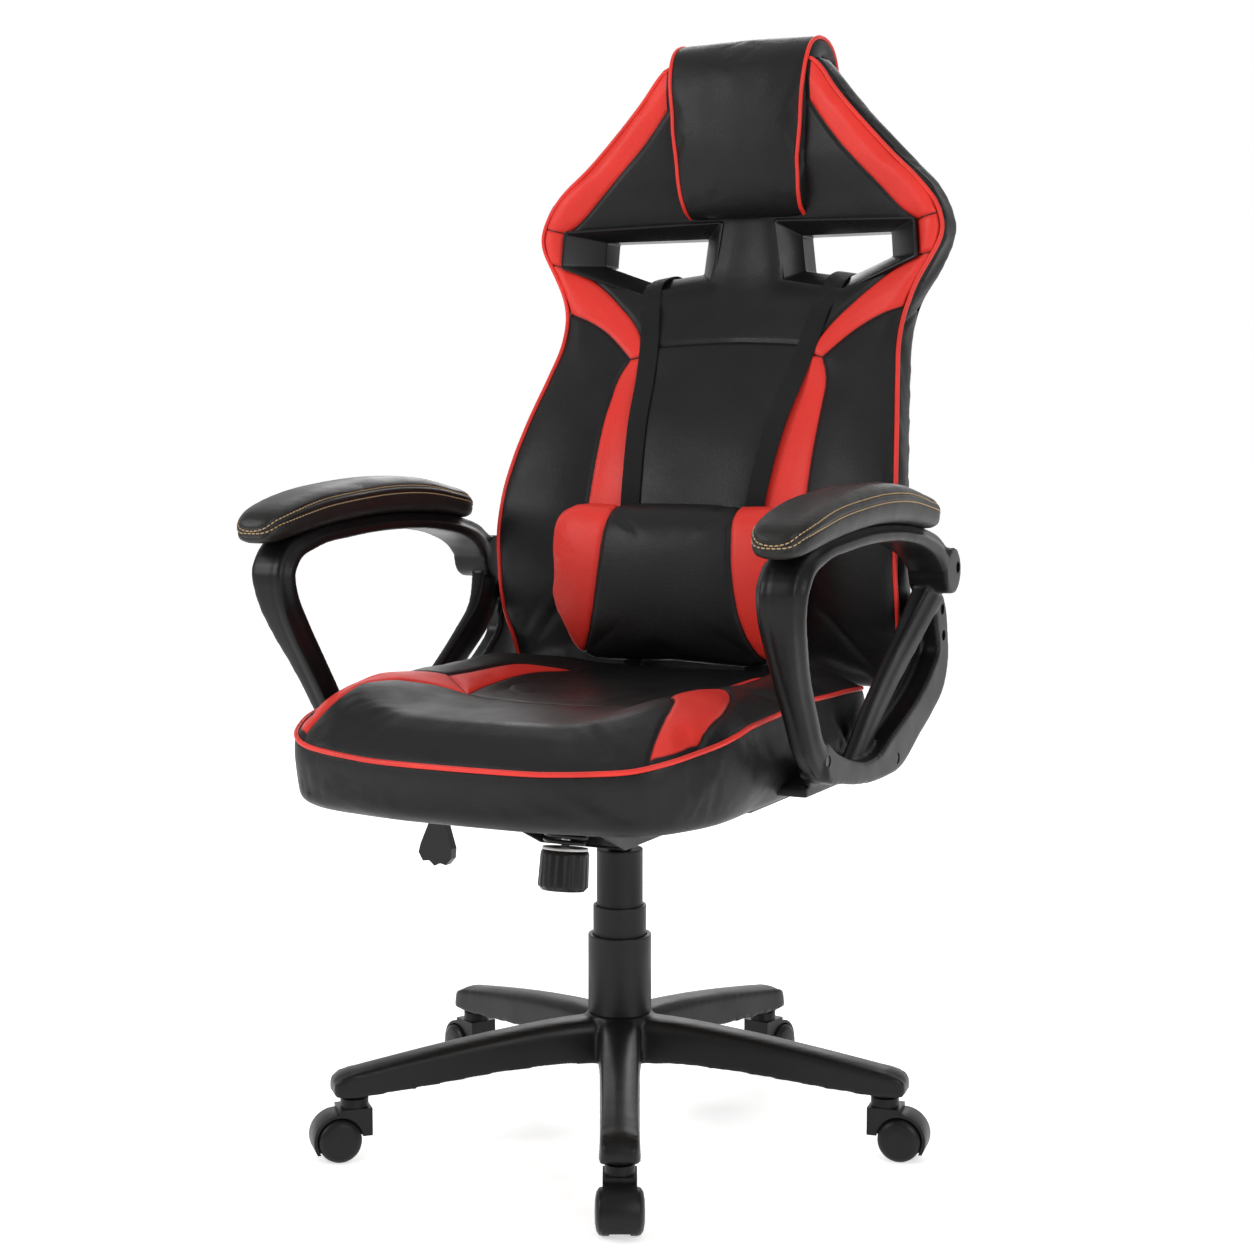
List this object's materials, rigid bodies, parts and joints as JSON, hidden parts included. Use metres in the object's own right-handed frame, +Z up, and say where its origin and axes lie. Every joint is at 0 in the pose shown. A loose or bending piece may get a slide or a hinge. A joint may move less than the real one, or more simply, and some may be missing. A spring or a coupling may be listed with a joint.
{
  "type": "gaming chair",
  "caption": "Racing-style swivel chair on a star base with twin-wheel casters, gas lift, tilt mechanism, loop armrests, shaped back with two openings and two pillows.",
  "frame": {"origin": "on the floor, on the gas column's axis", "axes": "+Z up; -Y is the way the sitter faces; +X is the sitter's left"},
  "size_m": [0.7164, 0.8483, 1.331],
  "materials": {
    "base_nylon": "satin moulded nylon, fine texture",
    "stem_steel": "plain steel",
    "caster_nylon": "semi-gloss moulded nylon",
    "wheel_nylon": "satin moulded nylon",
    "column_paint": "black painted steel",
    "shroud_plastic": "satin moulded polypropylene",
    "mechanism_paint": "black powder coat",
    "spring_steel": "black coated spring wire",
    "knob_plastic": "semi-gloss moulded nylon",
    "plywood": "raw plywood",
    "cover_leather": "grained polyurethane leather, black with red panels and piping",
    "rear_leather": "grained polyurethane leather",
    "bezel_plastic": "semi-gloss moulded plastic",
    "webbing": "flat woven webbing",
    "arm_nylon": "satin moulded nylon",
    "pad_leather": "polyurethane leather with tan stitching",
    "screw_steel": "black oxide screws"
  },
  "bodies": {
    "base": {"star_base": "base_nylon", "caster_stems": "stem_steel", "stand_tube": "column_paint", "shroud_lower": "shroud_plastic", "thrust_bearing": "stem_steel"},
    "spindle": {"piston_rod": "stem_steel"},
    "cover": {"shroud_middle": "shroud_plastic"},
    "carriage": {"gas_cylinder": "column_paint", "shroud_upper": "shroud_plastic", "mechanism_housing": "mechanism_paint", "tilt_pivot_pin": "stem_steel", "tension_spring": "spring_steel"},
    "valve": {"valve_button": "stem_steel"},
    "tilt_lock": {"lock_plate": "mechanism_paint"},
    "lever": {"lever_rod": "stem_steel", "lever_paddle": "knob_plastic"},
    "seat": {"seat_plate": "mechanism_paint", "seat_bolts": "stem_steel", "tension_bolt": "stem_steel", "seat_pan": "plywood", "seat_cushion": "cover_leather", "back_cushion": "cover_leather", "back_board": "plywood", "back_rear_cover": "rear_leather", "bezel_left": "bezel_plastic", "bezel_right": "bezel_plastic", "bezel_rear_rims": "bezel_plastic", "head_pillow": "cover_leather", "lumbar_pillow": "cover_leather", "strap_left": "webbing", "strap_right": "webbing", "arm_frame_left": "arm_nylon", "arm_frame_right": "arm_nylon", "arm_pad_left": "pad_leather", "arm_pad_right": "pad_leather", "arm_bolts": "screw_steel"},
    "washer": {"tension_washer": "stem_steel"},
    "knob": {"tension_knob": "knob_plastic"},
    "caster_1": {"caster_1_hood": "caster_nylon", "caster_1_axle": "stem_steel"},
    "caster_1_wa": {"caster_1_wheel_a": "wheel_nylon"},
    "caster_1_wb": {"caster_1_wheel_b": "wheel_nylon"},
    "caster_2": {"caster_2_hood": "caster_nylon", "caster_2_axle": "stem_steel"},
    "caster_2_wa": {"caster_2_wheel_a": "wheel_nylon"},
    "caster_2_wb": {"caster_2_wheel_b": "wheel_nylon"},
    "caster_3": {"caster_3_hood": "caster_nylon", "caster_3_axle": "stem_steel"},
    "caster_3_wa": {"caster_3_wheel_a": "wheel_nylon"},
    "caster_3_wb": {"caster_3_wheel_b": "wheel_nylon"},
    "caster_4": {"caster_4_hood": "caster_nylon", "caster_4_axle": "stem_steel"},
    "caster_4_wa": {"caster_4_wheel_a": "wheel_nylon"},
    "caster_4_wb": {"caster_4_wheel_b": "wheel_nylon"},
    "caster_5": {"caster_5_hood": "caster_nylon", "caster_5_axle": "stem_steel"},
    "caster_5_wa": {"caster_5_wheel_a": "wheel_nylon"},
    "caster_5_wb": {"caster_5_wheel_b": "wheel_nylon"}
  },
  "joints": [
    {"name": "seat_swivel", "type": "hinge", "parent": "base", "child": "spindle", "pos_m": [0, 0, 0.2], "axis": [0, 0, 1], "continuous": true},
    {"name": "cover_slide", "type": "slide", "parent": "base", "child": "cover", "axis": [0, 0, 1], "range_m": [-0.03, 0.015]},
    {"name": "seat_lift", "type": "slide", "parent": "spindle", "child": "carriage", "axis": [0, 0, 1], "range_m": [-0.06, 0.03]},
    {"name": "tilt_lock_slide", "type": "slide", "parent": "carriage", "child": "tilt_lock", "axis": [-1, 0, 0], "range_m": [0, 0.01]},
    {"name": "lever_lift", "type": "hinge", "parent": "tilt_lock", "child": "lever", "pos_m": [-0.052, 0, 0.388], "axis": [0, 1, 0], "range_deg": [0, 4], "stiffness_Nm_per_rad": 6, "springref_deg": -6.88},
    {"name": "valve_press", "type": "slide", "parent": "carriage", "child": "valve", "axis": [0, 0, -1], "range_m": [0, 0.00445]},
    {"name": "seat_tilt", "type": "hinge", "parent": "carriage", "child": "seat", "pos_m": [0, -0.058, 0.397], "axis": [-1, 0, 0], "range_deg": [0, 12], "stiffness_Nm_per_rad": 120, "springref_deg": -20.05, "deforming": ["tension_spring"]},
    {"name": "tension_knob_turn", "type": "hinge", "parent": "washer", "child": "knob", "pos_m": [0, -0.128, 0.427], "axis": [0, -0.1392, -0.9903], "range_deg": [0, 1440]},
    {"name": "tension_washer_slide", "type": "slide", "parent": "seat", "child": "washer", "axis": [0, -0.1392, -0.9903], "range_m": [0, 0.008]},
    {"name": "caster_1_swivel", "type": "hinge", "parent": "base", "child": "caster_1", "pos_m": [0.14278, -0.28638, 0.06], "axis": [0, 0, 1], "continuous": true},
    {"name": "caster_1_spin_a", "type": "hinge", "parent": "caster_1", "child": "caster_1_wa", "pos_m": [0.15171, -0.30428, 0.025], "axis": [0.8949, 0.4462, 0], "continuous": true},
    {"name": "caster_1_spin_b", "type": "hinge", "parent": "caster_1", "child": "caster_1_wb", "pos_m": [0.15171, -0.30428, 0.025], "axis": [0.8949, 0.4462, 0], "continuous": true},
    {"name": "caster_2_swivel", "type": "hinge", "parent": "base", "child": "caster_2", "pos_m": [0.31649, 0.0473, 0.06], "axis": [0, 0, 1], "continuous": true},
    {"name": "caster_2_spin_a", "type": "hinge", "parent": "caster_2", "child": "caster_2_wa", "pos_m": [0.33626, 0.05026, 0.025], "axis": [-0.1478, 0.989, 0], "continuous": true},
    {"name": "caster_2_spin_b", "type": "hinge", "parent": "caster_2", "child": "caster_2_wb", "pos_m": [0.33626, 0.05026, 0.025], "axis": [-0.1478, 0.989, 0], "continuous": true},
    {"name": "caster_3_swivel", "type": "hinge", "parent": "base", "child": "caster_3", "pos_m": [0.05282, 0.31561, 0.06], "axis": [0, 0, 1], "continuous": true},
    {"name": "caster_3_spin_a", "type": "hinge", "parent": "caster_3", "child": "caster_3_wa", "pos_m": [0.05612, 0.33534, 0.025], "axis": [-0.9863, 0.165, 0], "continuous": true},
    {"name": "caster_3_spin_b", "type": "hinge", "parent": "caster_3", "child": "caster_3_wb", "pos_m": [0.05612, 0.33534, 0.025], "axis": [-0.9863, 0.165, 0], "continuous": true},
    {"name": "caster_4_swivel", "type": "hinge", "parent": "base", "child": "caster_4", "pos_m": [-0.28384, 0.14776, 0.06], "axis": [0, 0, 1], "continuous": true},
    {"name": "caster_4_spin_a", "type": "hinge", "parent": "caster_4", "child": "caster_4_wa", "pos_m": [-0.30158, 0.15699, 0.025], "axis": [-0.4617, -0.887, 0], "continuous": true},
    {"name": "caster_4_spin_b", "type": "hinge", "parent": "caster_4", "child": "caster_4_wb", "pos_m": [-0.30158, 0.15699, 0.025], "axis": [-0.4617, -0.887, 0], "continuous": true},
    {"name": "caster_5_swivel", "type": "hinge", "parent": "base", "child": "caster_5", "pos_m": [-0.22824, -0.22429, 0.06], "axis": [0, 0, 1], "continuous": true},
    {"name": "caster_5_spin_a", "type": "hinge", "parent": "caster_5", "child": "caster_5_wa", "pos_m": [-0.2425, -0.23831, 0.025], "axis": [0.7009, -0.7133, 0], "continuous": true},
    {"name": "caster_5_spin_b", "type": "hinge", "parent": "caster_5", "child": "caster_5_wb", "pos_m": [-0.2425, -0.23831, 0.025], "axis": [0.7009, -0.7133, 0], "continuous": true}
  ],
  "couplings": [
    {"joint": "cover_slide", "follows": "seat_lift", "ratio": 0.5},
    {"joint": "valve_press", "follows": "lever_lift", "m_per_rad": 0.06303},
    {"joint": "tension_washer_slide", "follows": "tension_knob_turn", "m_per_rad": 0.00031799}
  ]
}
